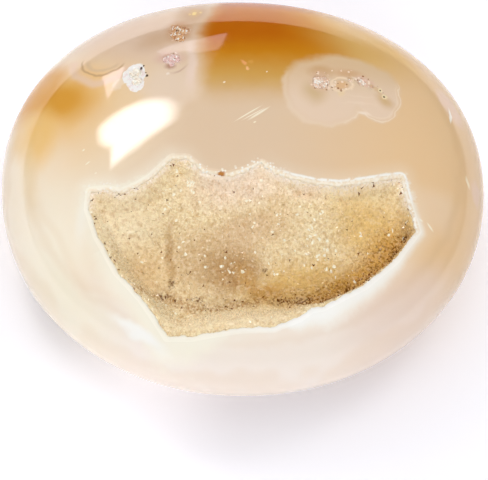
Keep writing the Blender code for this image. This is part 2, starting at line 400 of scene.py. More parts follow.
def maths(tree, operation, *values):
    return join(tree, "Math", dict(enumerate(values)), operation=operation)


def product(tree, first, *others):
    for other in others:
        first = maths(tree, "MULTIPLY", first, other)
    return first


def axis(tree, place, index):
    """One coordinate of a place: along, across or up, as 0, 1 or 2."""
    return join(tree, "SeparateXYZ", {0: place}, output=index)


def stored(tree, name):
    """The value that the mesh itself keeps under this name."""
    return join(tree, "Attribute", {}, output=2, attribute_name=name)


def in_millimetres(tree):
    """The place on the piece, in millimetres."""
    position = join(tree, "TexCoord", {}, output=3)
    return join(tree, "VectorMath", {0: position, "Scale": 1 / MM}, operation="SCALE")


def fade(tree, value, start, end):
    """0 where the value is at start or before, 1 where it is at end or beyond."""
    return join(
        tree, "MapRange", {"Value": value, "From Min": start, "From Max": end}, interpolation_type="SMOOTHSTEP"
    )


def tint(tree, share, under, over):
    """The colour under, turned by a share into the one over."""
    return join(tree, "Mix", {0: share, 6: under, 7: over}, output=2, data_type="RGBA")


def mottle(tree, place, scale, detail=2.0, output=0):
    """Cloudy noise: a value, or with output 1 a colour."""
    return join(tree, "TexNoise", {"Vector": place, "Scale": scale, "Detail": detail}, output=output)


def strayed(tree, place, scale, reach):
    """The place pushed about by cloudy noise."""
    cloud = mottle(tree, place, scale, output=1)
    middle = join(tree, "VectorMath", {0: cloud, 1: (0.5, 0.5, 0.5)}, operation="SUBTRACT")
    push = join(tree, "VectorMath", {0: middle, "Scale": reach * 2}, operation="SCALE")
    return join(tree, "VectorMath", {0: place, 1: push}, operation="ADD")


def oval(tree, place, x, y, radius_x, radius_y, turn=0):
    """Distance from a plan point in millimetres, 1 on an oval of these radii turned by degrees."""
    local = join(
        tree, "Mapping",
        {"Vector": place, "Location": (x, y, 0), "Rotation": (0, 0, math.radians(turn)),
         "Scale": (radius_x, radius_y, 1e6)},
        vector_type="TEXTURE",
    )
    return join(tree, "VectorMath", {0: local}, output=1, operation="LENGTH")


def patch(tree, place, x, y, radius_x, radius_y, turn=0, core=0.0):
    """1 within the core of an oval, easing to 0 at its edge."""
    return fade(tree, oval(tree, place, x, y, radius_x, radius_y, turn), 1.0, core)


def line_at(tree, value, at, width):
    """1 where the value is just this, easing to 0 a width away."""
    off = maths(tree, "ABSOLUTE", maths(tree, "SUBTRACT", value, at))
    return fade(tree, off, width, 0.0)


def sparks(tree, place, scale, share, seed=0):
    """1 on small scattered specks: this share of the cells of a fine mosaic."""
    place = join(tree, "VectorMath", {0: place, 1: (seed, 0, 0)}, operation="ADD")
    away = join(tree, "TexVoronoi", {"Vector": place, "Scale": scale})
    chance = join(tree, "SeparateColor", {0: away.node.outputs["Color"]})
    return product(tree, fade(tree, away, 0.5, 0.3), maths(tree, "LESS_THAN", chance, share))


def agate_pattern(tree):
    """The colours of the agate: cream, milk and beige with amber clouds, arcs, an eye and white quartz."""
    place = in_millimetres(tree)
    x = axis(tree, place, 0)
    y = axis(tree, place, 1)
    z = axis(tree, place, 2)
    loose = strayed(tree, place, 0.10, 2.2)
    close = strayed(tree, place, 0.35, 0.6)
    rough = strayed(tree, close, 1.6, 0.22)
    loose_x = axis(tree, loose, 0)
    loose_y = axis(tree, loose, 1)
    upper = fade(tree, z, 13.0, 16.0)

    def layer(under, mask, colour, share=1.0, top_only=False):
        if top_only:
            mask = product(tree, mask, upper)
        if share != 1.0:
            mask = product(tree, mask, share)
        return tint(tree, mask, under, seen(*colour))

    def daubed(under, rows, top_only=False):
        for place, x, y, radius_x, radius_y, turn, core, level, share in rows:
            mask = patch(tree, place, x, y, radius_x, radius_y, turn, core)
            under = layer(under, mask, level, share, top_only)
        return under

    # Body: cream at the left, beige in the middle, gold-beige at the right, pale along the near side
    colour = tint(tree, fade(tree, loose_x, -24.0, -6.0), seen(246, 230, 206), seen(229, 202, 172))
    colour = layer(colour, fade(tree, loose_x, 2.0, 24.0), (236, 201, 157))
    colour = layer(colour, fade(tree, loose_y, -12.0, -25.0), (248, 237, 227), 0.9)
    colour = daubed(colour, (
        (loose, -26, -13, 9, 12, 20, 0.0, (252, 240, 220), 0.9),
        (loose, -27, 2, 7, 9, 0, 0.0, (253, 236, 214), 0.8),
        (loose, -24.5, -18.5, 15, 4.5, -42, 0.2, (247, 237, 214), 0.85),
        (loose, 20, -21, 13, 6, 40, 0.2, (236, 212, 197), 0.6),
        (loose, 24.5, -7, 4.5, 4.5, 0, 0.2, (240, 214, 184), 0.6),
    ))
    # Faint bands that follow the outline
    share = oval(tree, loose, 0, 0, 32.6, 29.6)
    bands = maths(tree, "SINE", product(tree, share, 46.0))
    bands = product(tree, bands, fade(tree, share, 0.72, 0.95))
    colour = layer(colour, fade(tree, bands, 0.1, 1.0), (224, 190, 146), 0.2)
    line = line_at(tree, oval(tree, close, 0, 0, 32.6, 29.6), 0.88, 0.03)
    colour = layer(colour, line, (206, 168, 122), 0.12)

    # Milky pink zone at the upper left
    colour = layer(colour, patch(tree, loose, -15, 20, 13, 9, 15, 0.3), (226, 198, 176), 0.9)
    # Amber at the far edge, with its tail to the right
    colour = daubed(colour, (
        (loose, -21, 8, 14, 15, 0, 0.2, (240, 206, 160), 0.85),
        (loose, 15, 17.5, 12, 6, -22, 0.1, (222, 178, 104), 0.85),
    ))
    close_y = axis(tree, close, 1)
    beyond = maths(tree, "MAXIMUM", maths(tree, "SUBTRACT", y, 19.5), 0.0)
    left = maths(tree, "MULTIPLY_ADD", beyond, -0.32, axis(tree, close, 0))
    left = fade(tree, left, -6.9, -3.5)
    slant = maths(tree, "MULTIPLY_ADD", loose_y, 0.25, loose_x)
    for near_y, far_y, right_x, level in (
        (5.5, 12.0, 22.5, (212, 164, 84)),
        (10.5, 16.5, 20.5, (204, 132, 18)),
        (14.5, 20.0, 18.0, (190, 102, 0)),
    ):
        cloud = product(tree, fade(tree, close_y, near_y, far_y), fade(tree, slant, right_x, right_x - 9))
        colour = layer(colour, product(tree, cloud, left), level, 0.96)
    # Amber at the left shoulder
    colour = daubed(colour, (
        (loose, -24.0, 9.5, 8.0, 9.0, -30, 0.2, (240, 192, 116), 0.9),
        (loose, -24.4, 9.8, 7.2, 4.8, -38, 0.2, (220, 156, 56), 0.9),
        (close, -27.6, 13.0, 4.0, 7.0, -30, 0.4, (222, 158, 66), 0.85),
        (close, -29.6, 6.0, 2.5, 5.0, -10, 0.3, (236, 196, 130), 0.6),
        (close, -27.2, 4.5, 3.4, 7.0, 0, 0.2, (243, 198, 122), 0.8),
    ))
    # Milk between the amber clouds
    colour = daubed(colour, (
        (close, -10.0, 10.0, 5.2, 5.0, 0, 0.3, (236, 213, 190), 0.85),
        (close, -6.9, 13.5, 1.1, 6.5, 0, 0.2, (238, 214, 200), 0.7),
    ), top_only=True)
    colour = daubed(colour, (
        (close, -28.5, -1.0, 1.8, 9.0, 8, 0.0, (238, 212, 160), 0.35),
        (close, -11.8, 18.8, 4.4, 3.2, 15, 0.1, (208, 172, 138), 0.7),
        (close, -6.7, 24.4, 3.4, 5.4, -8, 0.2, (200, 160, 122), 0.85),
    ))

    # Arcs round a small centre at the upper left
    ring = oval(tree, close, -18.8, 16.0, 1, 1)
    lower = fade(tree, maths(tree, "MULTIPLY_ADD", x, 0.35, y), 9.6, 8.4)
    for radius, width, level, share in (
        (4.2, 1.2, (238, 206, 180), 0.85), (2.9, 0.3, (186, 146, 112), 0.6), (2.1, 0.5, (222, 192, 158), 0.7),
    ):
        arc = product(tree, line_at(tree, ring, radius, width), lower)
        colour = layer(colour, arc, level, share, True)

    # The milky eye with its fine white borders
    eye = oval(tree, close, 10.8, 9.0, 5.8, 6.2)
    for lobe in (oval(tree, close, 17.8, 9.4, 3.5, 5.0), oval(tree, close, 13.5, 11.5, 6.0, 4.2)):
        eye = maths(tree, "SMOOTH_MIN", eye, lobe, 0.3)
    eye = maths(tree, "ADD", eye, maths(tree, "MULTIPLY_ADD", mottle(tree, place, 0.5), 0.16, -0.05))
    milk = tint(tree, fade(tree, y, 7.0, 14.5), seen(237, 212, 188), seen(225, 196, 160))
    within = product(tree, fade(tree, eye, 1.12, 0.8), upper)
    colour = tint(tree, product(tree, within, 0.92), colour, milk)
    lower_left = fade(tree, maths(tree, "MULTIPLY_ADD", x, 0.6, y), 17.5, 13.5)
    border = product(tree, line_at(tree, eye, 0.97, 0.1), lower_left)
    colour = layer(colour, border, (240, 218, 194), 0.5, True)
    streaks = oval(tree, strayed(tree, place, 0.5, 0.8), 15.0, 1.0, 9.0, 3.0)
    streaks = fade(tree, maths(tree, "SINE", product(tree, streaks, 16.0)), 0.3, 1.0)
    streaks = product(tree, streaks, within, patch(tree, close, 15.5, 7.6, 4.0, 1.8))
    colour = layer(colour, streaks, (246, 224, 202), 0.35)
    lower_right = fade(tree, maths(tree, "SUBTRACT", x, y), 8.5, 11.0)
    wavy = line_at(tree, maths(tree, "MULTIPLY_ADD", mottle(tree, place, 0.8), 0.12, eye), 1.03, 0.035)
    colour = layer(colour, product(tree, wavy, lower_right), (252, 236, 216), 0.55, True)
    inner = product(tree, line_at(tree, eye, 0.86, 0.06), lower_right)
    colour = layer(colour, inner, (246, 224, 200), 0.45, True)
    colour = daubed(colour, (
        (close, 15.9, 5.7, 1.2, 0.4, -8, 0.2, (252, 234, 218), 0.65),
        (loose, 9.1, 8.3, 2.2, 2.8, -10, 0.0, (210, 178, 128), 0.75),
        (close, 10.3, 12.3, 2.3, 1.7, 0, 0.2, (208, 164, 118), 0.75),
        (close, 14.0, 12.3, 3.4, 1.2, -6, 0.1, (216, 172, 132), 0.75),
        (close, 18.9, 8.0, 2.2, 1.4, -40, 0.0, (212, 174, 120), 0.75),
        (rough, 13.3, 10.0, 1.2, 1.1, 0, 0.3, (228, 184, 136), 0.8),
    ), top_only=True)
    loop_line = line_at(tree, oval(tree, rough, 13.3, 10.2, 1.35, 1.2), 1.0, 0.26)
    colour = layer(colour, loop_line, (248, 222, 192), 0.9, True)
    colour = daubed(colour, (
        (rough, 11.9, 9.9, 1.2, 0.3, 20, 0.3, (248, 222, 192), 0.9),
        (rough, 15.2, 11.2, 1.1, 0.3, -42, 0.3, (246, 222, 198), 0.8),
        (rough, 13.2, 8.6, 0.6, 0.7, 0, 0.3, (240, 214, 172), 0.7),
        (rough, 10.3, 10.6, 2.1, 2.5, 0, 0.3, (226, 190, 162), 0.85),
        (rough, 16.3, 11.0, 1.8, 1.1, -25, 0.3, (230, 190, 172), 0.8),
        (rough, 17.6, 9.9, 1.9, 0.5, -48, 0.3, (222, 188, 146), 0.7),
    ), top_only=True)
    for spot_x, spot_y, size in ((18.3, 9.7, 0.2), (18.9, 8.7, 0.24)):
        halo = patch(tree, rough, spot_x, spot_y, size * 2.6, size * 2.6, 0, 0.4)
        colour = layer(colour, halo, (248, 230, 190), 0.9, True)
        spot = patch(tree, rough, spot_x, spot_y, size, size, 0, 0.5)
        colour = layer(colour, spot, (84, 48, 22), 0.95, True)

    # Haze and rings round the small pits
    colour = layer(colour, patch(tree, close, -9.8, 14.9, 2.8, 2.0, 0, 0.2), (226, 186, 170), 0.85, True)
    arc = line_at(tree, oval(tree, close, -9.4, 14.6, 2.0, 2.5), 1.0, 0.13)
    arc = product(tree, arc, patch(tree, place, -8.4, 12.6, 2, 1.6))
    colour = layer(colour, arc, (196, 154, 134), 0.6, True)
    colour = daubed(colour, (
        (rough, -9.8, 13.3, 1.1, 0.8, 0, 0.2, (180, 128, 108), 0.8),
        (rough, -9.9, 12.0, 0.3, 0.3, 0, 0.2, (250, 236, 224), 0.8),
        (close, -8.7, 20.1, 2.6, 3.3, 0, 0.3, (202, 152, 112), 0.9),
    ), top_only=True)
    # The chalky white chip beside the upper left pit
    jagged = strayed(tree, place, 0.9, 0.6)
    colour = layer(colour, patch(tree, jagged, -16.4, 11.2, 1.9, 0.9, 40, 0.5), (246, 222, 194), 0.9, True)
    lower_part = oval(tree, jagged, -14.3, 10.7, 1.2, 1.3)
    chip = maths(tree, "SMOOTH_MIN", oval(tree, jagged, -14.5, 12.5, 1.5, 2.0, -12), lower_part, 0.1)
    colour = layer(colour, fade(tree, chip, 1.04, 0.94), (255, 249, 244), 1.0, True)
    chalk = product(tree, fade(tree, chip, 1.0, 0.9), fade(tree, mottle(tree, place, 1.5), 0.52, 0.62))
    colour = layer(colour, chalk, (248, 226, 222), 0.8, True)
    for spot_x, spot_y, size in (
        (-13.4, 13.5, 0.3), (-13.1, 13.9, 0.16), (-13.0, 12.0, 0.26), (-13.0, 12.6, 0.14),
    ):
        spot = patch(tree, rough, spot_x, spot_y, size, size, 0, 0.5)
        colour = layer(colour, spot, (70, 44, 28), 0.95, True)
    # Yellow flecks near the far edge
    flecks = sparks(tree, place, 1.2, 0.5)
    near_flecks = patch(tree, place, -6.4, 24.3, 1.1, 2.0, 0, 0.5)
    colour = layer(colour, patch(tree, close, -6.6, 24.8, 1.3, 1.8, 0, 0.2), (216, 174, 112), 0.7)
    colour = layer(colour, product(tree, flecks, near_flecks), (246, 214, 130), 0.8)
    # Loose crystals scattered round the pits and in the eye
    for spot_x, spot_y, radius_x, radius_y, turn in (
        (10.3, 10.4, 1.6, 2.3, 0), (14.0, 12.3, 3.0, 0.8, -8), (12.9, 10.4, 2.2, 1.8, 0),
        (16.3, 11.0, 1.8, 1.1, -30), (-9.6, 14.9, 1.4, 1.2, 0), (-8.8, 20.1, 1.7, 2.2, 0),
        (17.9, 10.2, 1.3, 0.4, -45),
    ):
        near = patch(tree, place, spot_x, spot_y, radius_x, radius_y, turn, 0.7)
        brown = product(tree, sparks(tree, place, 2.6, 0.14, 7), near)
        colour = layer(colour, brown, (150, 92, 52), 0.8, True)
        pale = product(tree, sparks(tree, place, 2.2, 0.2), near)
        colour = layer(colour, pale, (254, 230, 208), 0.9, True)

    # Painted reflections at the right edge: pink patches, each with a white streak
    colour = daubed(colour, (
        (close, 27.9, 9.9, 4.2, 1.5, -63, 0.4, (240, 210, 190), 0.75),
        (close, 27.8, 8.2, 1.7, 0.24, -86, 0.4, (255, 246, 234), 0.9),
    ), top_only=True)
    colour = daubed(colour, (
        (close, 30.9, -2.8, 1.0, 2.6, 0, 0.3, (238, 206, 182), 0.75),
        (close, 29.8, -2.0, 1.2, 0.28, -80, 0.3, (252, 234, 204), 0.85),
    ))

    # Scratches, each from one end to the other and as wide as this
    for x1, y1, x2, y2, width in (
        (-1.6, 3.3, 2.8, 6.4, 0.14), (0.2, 3.5, 3.8, 6.2, 0.22), (-0.6, 3.5, 3.2, 6.0, 0.1),
        (1.2, 3.3, 1.7, 3.6, 0.15), (-2.7, 10.0, -2.3, 10.3, 0.18), (3.1, 11.8, 3.3, 12.1, 0.14),
        (23.6, -9.4, 24.6, -10.7, 0.18), (22.6, -9.2, 23.2, -9.6, 0.16), (-21.3, 0.7, -20.9, 1.1, 0.16),
        (-20.9, -1.5, -20.1, -0.9, 0.14), (-19.6, -3.0, -19.2, -2.8, 0.14),
    ):
        length = math.hypot(x2 - x1, y2 - y1)
        turn = math.degrees(math.atan2(y2 - y1, x2 - x1))
        mark = patch(tree, place, (x1 + x2) / 2, (y1 + y2) / 2, length / 2, width, turn, 0.4)
        colour = layer(colour, mark, (255, 244, 222), 0.85, True)
    colour = daubed(colour, (
        (rough, 0.0, 13.6, 0.8, 0.35, -60, 0.3, (238, 172, 112), 0.9),
        (rough, 0.6, 12.5, 0.5, 0.25, -60, 0.3, (250, 196, 140), 0.9),
        (rough, 0.9, 13.7, 0.6, 0.5, 0, 0.2, (222, 166, 84), 0.6),
    ), top_only=True)

    # White quartz along the rim, painted whiter where the lip catches the light, so partly a painted highlight;
    # a bright line beside it, a painted highlight along the lip; and crumbs of the quartz on the polish
    gap = stored(tree, "rim_gap")
    width = stored(tree, "rim_white")
    cloud = mottle(tree, place, 0.5)
    strength = stored(tree, "rim_strength")
    # Soft at the left, with a clear outer border at the right
    soft = fade(tree, x, 6.0, -6.0)
    stray = product(tree, maths(tree, "SUBTRACT", cloud, 0.5), maths(tree, "MULTIPLY_ADD", soft, 0.6, 0.1))
    far_side = product(tree, fade(tree, y, -8.0, -6.5), upper)
    crumbling = maths(tree, "SUBTRACT", mottle(tree, place, 1.5), 0.5)
    stray = maths(tree, "MULTIPLY_ADD", crumbling, maths(tree, "MULTIPLY_ADD", far_side, 2.4, 0.3), stray)
    reach = product(tree, width, maths(tree, "ADD", stray, 1.0))
    band = maths(tree, "DIVIDE", gap, maths(tree, "MAXIMUM", reach, 0.05))
    outer = maths(tree, "MULTIPLY_ADD", soft, 0.2, 1.7)
    inner = maths(tree, "MULTIPLY_ADD", soft, -0.2, 0.5)
    frost = product(tree, fade(tree, band, outer, inner), strength)
    halo = product(tree, fade(tree, gap, 3.0, 0.4), strength, maths(tree, "MULTIPLY_ADD", soft, 0.3, 0.5))
    colour = tint(tree, halo, colour, tint(tree, soft, seen(248, 232, 212), seen(254, 244, 226)))
    white = tint(tree, soft, seen(255, 253, 246), seen(253, 245, 226))
    colour = tint(tree, product(tree, frost, 0.95), colour, white)
    right_end = product(tree, fade(tree, x, 16.0, 19.0), fade(tree, y, -13.0, -9.0))
    broken = maths(tree, "MAXIMUM", product(tree, fade(tree, x, 0.0, 3.0), far_side), right_end)
    grains = fade(tree, mottle(tree, place, 2.6), 0.42, 0.62)
    grains = tint(tree, grains, seen(236, 214, 184), seen(255, 248, 236))
    grained = product(tree, fade(tree, gap, 0.6, 0.25), fade(tree, mottle(tree, place, 0.45), 0.36, 0.5))
    colour = tint(tree, product(tree, grained, broken, upper), colour, grains)
    # The wall under the rim is the druse's own sandy quartz
    sandy = fade(tree, mottle(tree, place, 2.0), 0.35, 0.65)
    sandy = tint(tree, sandy, seen(246, 226, 196), seen(255, 242, 222))
    colour = tint(tree, product(tree, fade(tree, gap, 0.4, 0.1), far_side), colour, sandy)
    # A painted highlight: a bright broken line along the lip at the far right
    right_part = product(tree, fade(tree, x, 3.5, 6.5), far_side)
    painted_lip_highlight = product(tree, line_at(tree, gap, 0.55, 0.32), fade(tree, mottle(tree, place, 1.1), 0.36, 0.5))
    colour = layer(colour, product(tree, painted_lip_highlight, right_part), (255, 250, 242), 0.95)
    crumbs = product(tree, sparks(tree, place, 2.4, 0.45), fade(tree, gap, 1.5, 0.2))
    middle_part = product(tree, far_side, patch(tree, place, -2.0, -4.0, 9.0, 4.0, 0, 0.6))
    left_part = patch(tree, place, -18.5, -4.6, 3.6, 4.4, 20, 0.3)
    crumbs = product(tree, crumbs, maths(tree, "MAXIMUM", middle_part, left_part))
    colour = layer(colour, crumbs, (255, 248, 238), 0.95)
    colour = daubed(colour, (
        (rough, -2.9, -4.3, 0.8, 0.4, 0, 0.3, (180, 112, 34), 0.95),
        (rough, -2.4, -4.9, 0.8, 0.3, 0, 0.3, (246, 214, 150), 0.8),
    ))
    # A painted highlight: a white streak along the near left lip; and a soft white beside the left end of the
    # rim
    colour = daubed(colour, (
        (close, -13.7, -24.0, 5.8, 0.95, -34, 0.2, (255, 252, 244), 0.95),
        (close, -21.2, -9.5, 1.3, 5.0, -4, 0.1, (252, 244, 230), 0.6),
    ), top_only=True)
    return colour


def new_material(name):
    """A material, its node tree and its shader."""
    material = bpy.data.materials.new(name)
    material.use_nodes = True
    return material, material.node_tree, material.node_tree.nodes["Principled BSDF"]


def let_light_in(shader, share, depth):
    """Gives quartz its shine, and lets this share of the light into it, to about this depth."""
    shader.inputs["IOR"].default_value = 1.54
    shader.inputs["Subsurface Weight"].default_value = share
    shader.inputs["Subsurface Radius"].default_value = (1.0, 0.9, 0.8)
    shader.inputs["Subsurface Scale"].default_value = depth


stone_material, tree, shader = new_material("polished_agate")
tree.links.new(agate_pattern(tree), shader.inputs["Base Color"])
gap = stored(tree, "rim_gap")
tree.links.new(maths(tree, "MULTIPLY_ADD", fade(tree, gap, 0.75, 0.35), 0.9, 0.05), shader.inputs["Roughness"])
let_light_in(shader, 0.3, 2.0 * MM)
polished_stone.data.materials.append(stone_material)
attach(polished_stone, "root")
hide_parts("agate_stone")

# The druse of the pocket. A crust of tiny quartz points, sandy and golden with frosty white parts, that
# glints where a face catches the light, with more glints painted on as white faces. It is a closed crust whose
# upper sheet is split into small triangles, each drawn up to a point that leans its own way.
def spread(outline, step, clear, seed):
    """Plan points about a step apart inside an outline, clear of its sides."""
    stray = random.Random(seed)
    low = [min(point[way] for point in outline) for way in (0, 1)]
    high = [max(point[way] for point in outline) for way in (0, 1)]
    points = []
    row_step = step * math.sqrt(3) / 2
    for row in range(int((high[1] - low[1]) / row_step) + 1):
        for column in range(int((high[0] - low[0]) / step) + 1):
            point = Vector((low[0] + (column + 0.5 * (row % 2)) * step, low[1] + row * row_step))
            point += Vector((stray.uniform(-0.4, 0.4), stray.uniform(-0.4, 0.4))) * step
            if distance_inside(outline, point) > clear:
                points.append(point)
    return points


# What a crystal's face is: not yet toned, dark, or painted white as a glint. The tones of the others run from 0
# to 1.
PLAIN, DARK, PAINTED_GLINT = 0.25, -1.0, 2.0


def crystal_crust(name, outline, height_at, step, point_height, thickness, look_at, seed):
    """A closed crust: a sheet of small triangles, each drawn up to a crystal's point, over a plain underside.

    The look of each place gives how deep it lies in a crevice and its shares of dark crystals and of crystals
    painted white as glints, of which most reach over their neighbours' near sides too.
    """
    stray = random.Random(seed)
    bm = bmesh.new()
    shade = bm.faces.layers.float.new("shade")
    crevice = bm.faces.layers.float.new("crevice")
    edge_gap = bm.faces.layers.float.new("edge_gap")
    sheets = []
    sides = [(i, (i + 1) % len(outline)) for i in range(len(outline))]
    for points, drop in (
        (spread(outline, step, 0.3 * step, seed), 0), (spread(outline, 4 * step, step, 3), thickness),
    ):
        flat, _, triangles, _, _, _ = geometry.delaunay_2d_cdt(list(outline) + points, sides, [], 1, 1e-7)
        rough = 0.25 * point_height if drop == 0 else 0
        verts = [bm.verts.new((p.x, p.y, height_at(p) - drop + stray.uniform(-rough, rough))) for p in flat]
        sheets.append([bm.faces.new([verts[i] for i in triangle]) for triangle in triangles])
    loops = [edge for sheet in sheets for face in sheet for edge in face.edges if len(edge.link_faces) == 1]
    bmesh.ops.bridge_loops(bm, edges=loops)
    bmesh.ops.recalc_face_normals(bm, faces=bm.faces)
    for face in bm.faces:
        face[shade] = PLAIN
    tips = bmesh.ops.poke(bm, faces=sheets[0], offset=0)["verts"]
    bm.normal_update()
    for tip in tips:
        size = max(face.calc_area() for face in tip.link_faces) ** 0.5 / (0.4 * step)
        rise = point_height * stray.uniform(0.0, 1.15) * min(size, 1.2) * (1.6 if stray.random() < 0.03 else 1)
        aside = Vector((stray.uniform(-1, 1), stray.uniform(-1, 1), 0)) * 0.35 * point_height
        deep, dark_share, painted_glint_share = look_at(tip.co.xy)
        kind = stray.random()
        special = DARK if kind < dark_share else PAINTED_GLINT if kind < dark_share + painted_glint_share else None
        wide = special == PAINTED_GLINT and stray.random() < 0.5
        turned = 3 if wide else stray.choice((1, 2))
        tone = stray.uniform(0, 1)
        tip.co += tip.normal * rise + aside
        gap = distance_inside(POCKET_RIM, tip.co.xy) / MM
        for i, face in enumerate(tip.link_faces):
            if special is not None and i < turned:
                face[shade] = special
            elif face[shade] == PLAIN:
                face[shade] = tone
            for edge in face.edges if wide else ():
                for beside in edge.link_faces:
                    beside[shade] = special
            face[crevice] = deep
            face[edge_gap] = gap
    piece = as_piece(bm, name)
    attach(piece, "root")
    return piece


def odd_crystals(tree, colour, dark, painted_glints):
    """The dark crystals and the painted glints, faces painted white, over the colour of the others."""
    tone = stored(tree, "shade")
    colour = tint(tree, fade(tree, tone, -0.2, -0.8), colour, dark)
    return tint(tree, fade(tree, tone, 1.2, 1.8), colour, painted_glints)


def quartz_material(name, low, high, glow):
    """Small quartz crystals between two colours, with a few dark ones and a few painted white as glints."""
    material, tree, shader = new_material(name)
    colour = tint(tree, fade(tree, stored(tree, "shade"), 0.0, 1.0), seen(*low), seen(*high))
    colour = odd_crystals(tree, colour, seen(96, 60, 32), (1, 0.97, 0.9, 1))
    shader.inputs["Roughness"].default_value = 0.14
    let_light_in(shader, glow, 0.5 * MM)
    tree.links.new(colour, shader.inputs["Base Color"])
    return material, tree, shader, colour


def rough_height(point):
    return druse_height(point) + roughness(point, ((0.16, 0.55), (0.08, 1.3))) * MM


inner_rim = [point - out * 0.05 * MM for point, out in zip(rim, rim_out)][::3]
# The crevice along the near wall, painted browner and darker as shade down in it, to this far beside it
CREVICE_WIDTH = 1.2 * MM
CREVICE = [Vector(place) * MM for place in (
    (-14.0, -18.8), (-12.3, -18.5), (-10.3, -18.1), (-8.5, -18.9), (-7.0, -19.6), (-4.6, -19.9), (-0.8, -19.4),
    (1.1, -18.7), (3.4, -18.5), (5.2, -18.8), (7.0, -19.2), (9.5, -18.6), (12.2, -17.7), (14.2, -16.9),
    (17.0, -15.0), (19.5, -12.6), (20.9, -10.6),
)]
# Where painted glints gather: place, reach and their share there
PAINTED_GLINT_CLUSTERS = (
    (8.6, -11.8, 1.1, 0.09), (10.3, -11.8, 1.3, 0.07), (9.2, -13.8, 0.9, 0.06), (15.4, -10.1, 0.45, 0.4),
    (-7.0, -4.9, 0.55, 0.4), (-9.6, -5.2, 0.8, 0.12), (5.4, -9.6, 1.3, 0.04), (-1.7, -14.7, 1.0, 0.08),
    (-10.0, -7.4, 0.5, 0.2), (-9.0, -9.4, 0.5, 0.15), (10.5, -15.6, 0.8, 0.06),
)


def crevice_shade_and_glints(point):
    """How deep in the crevice a place is, from 0 to 1, which sets the painted shade there, and its shares of
    dark crystals, gathered in the crevice as painted shade too, and of crystals painted white as glints.
    """
    nearest = min(distance_to_side(start, end, point) for start, end in zip(CREVICE, CREVICE[1:]))
    deep = 1 - smooth(nearest / CREVICE_WIDTH)
    edge = distance_inside(POCKET_RIM, point) / MM
    beside = (1 - smooth((edge - 0.2) / 0.8)) * smooth((abs(point.x / MM) - 12) / 5)
    open_part = smooth((point.y / MM + 19) / 4) * smooth(1.4 + 2.4 * noise.noise(point.to_3d() / (2.2 * MM)))
    painted_glints = 0.003 + 0.009 * open_part * (1 - 0.5 * smooth((abs(point.x / MM - 3) - 8) / 5))
    for x, y, reach, share in PAINTED_GLINT_CLUSTERS:
        painted_glints += share * math.exp(-((math.dist(point / MM, (x, y)) / reach) ** 2))
    brown_right = smooth((point.x / MM - 1) / 4)
    beside *= 0.1 if point.x < 0 else 0.04
    dark = 0.006 * smooth((point.y / MM + 19.5) / 1.5) + (0.05 + 0.12 * brown_right) * deep + beside
    return deep, dark, painted_glints


druse = crystal_crust(
    "pocket_druse", inner_rim, rough_height, step=0.3 * MM, point_height=0.13 * MM, thickness=0.9 * MM,
    look_at=crevice_shade_and_glints, seed=20,
)
druse_material, tree, shader, colour = quartz_material(
    "sandy_quartz_druse", (230, 206, 162), (246, 230, 194), 0.3
)
place = in_millimetres(tree)
drift = strayed(tree, place, 0.25, 1.2)
# Broad zones: pale along the far side and the left, sandy in the middle, and painted shade: golden along the
# near right wall under the rim, and darker in the dips between the swells and along the crevice
for x, y, radius_x, radius_y, turn, level, share in (
    (-1.0, -5.2, 9.0, 4.0, 0, (247, 226, 206), 0.85),
    (9.0, -6.5, 7.0, 1.5, 0, (243, 218, 190), 0.7),
    (4.0, -9.5, 4.0, 4.0, 0, (226, 198, 156), 0.6),
    (-5.0, -14.0, 8.0, 5.5, 0, (212, 180, 136), 0.7),
    (-0.2, -11.0, 5.5, 3.6, 0, (218, 186, 148), 0.6),
    (-1.2, -15.4, 6.0, 3.6, 0, (188, 147, 94), 0.8),
    (-15.5, -9.5, 6.0, 5.0, 0, (246, 230, 198), 0.75),
    (13.5, -6.5, 6.5, 2.8, 0, (253, 232, 188), 0.85),
    (-9.6, -13.5, 0.8, 6.0, 0, (190, 152, 100), 0.75),
    (16.5, -10.0, 7.5, 6.0, 0, (234, 200, 130), 0.85),
    (18.4, -12.4, 6.0, 3.4, 45, (222, 176, 92), 0.8),
    (7.0, -17.0, 12.0, 3.4, 12, (224, 188, 116), 0.85),
    (13.0, -16.8, 9.0, 2.0, 28, (212, 164, 72), 0.8),
    (0.4, -16.6, 3.6, 1.5, -48, (204, 162, 98), 0.75),
    (3.0, -17.6, 4.0, 1.4, 0, (206, 160, 90), 0.7),
    (-12.8, -15.2, 5.5, 4.0, -50, (234, 206, 158), 0.7),
    (-2.0, -22.6, 11.0, 2.6, 0, (250, 230, 194), 0.85),
):
    mask = patch(tree, drift, x, y, radius_x, radius_y, turn, 0.2)
    colour = tint(tree, product(tree, mask, share), colour, seen(*level))
# Uneven grains: browner and paler spots all over, and brown ones in the painted golden shade along the near
# right wall
for scale, shift, level, share in (
    (1.5, 0, (204, 168, 118), 0.42), (1.9, 40, (248, 230, 202), 0.3), (2.6, 80, (196, 160, 108), 0.3),
):
    moved = join(tree, "VectorMath", {0: place, 1: (shift, 0, 0)}, operation="ADD")
    spots = fade(tree, mottle(tree, moved, scale, 3.0), 0.5, 0.68)
    colour = tint(tree, product(tree, spots, share), colour, seen(*level))
golden_wall_shade = patch(tree, drift, 17.8, -12.4, 6.5, 3.6, 45, 0.3)
golden_wall_shade = maths(tree, "MAXIMUM", golden_wall_shade, patch(tree, drift, 10.5, -17.6, 9.5, 1.8, 20, 0.3))
deep = stored(tree, "crevice")
grain = mottle(tree, drift, 3.1, 4.0)
brown = product(tree, golden_wall_shade, fade(tree, grain, 0.5, 0.66), 0.75)
colour = tint(tree, brown, colour, seen(162, 114, 42))
# Painted shade, brown and grainy, down in the crevice
painted_crevice_shade = product(tree, deep, fade(tree, grain, 0.38, 0.66), 0.75)
colour = tint(tree, painted_crevice_shade, colour, seen(166, 114, 44))
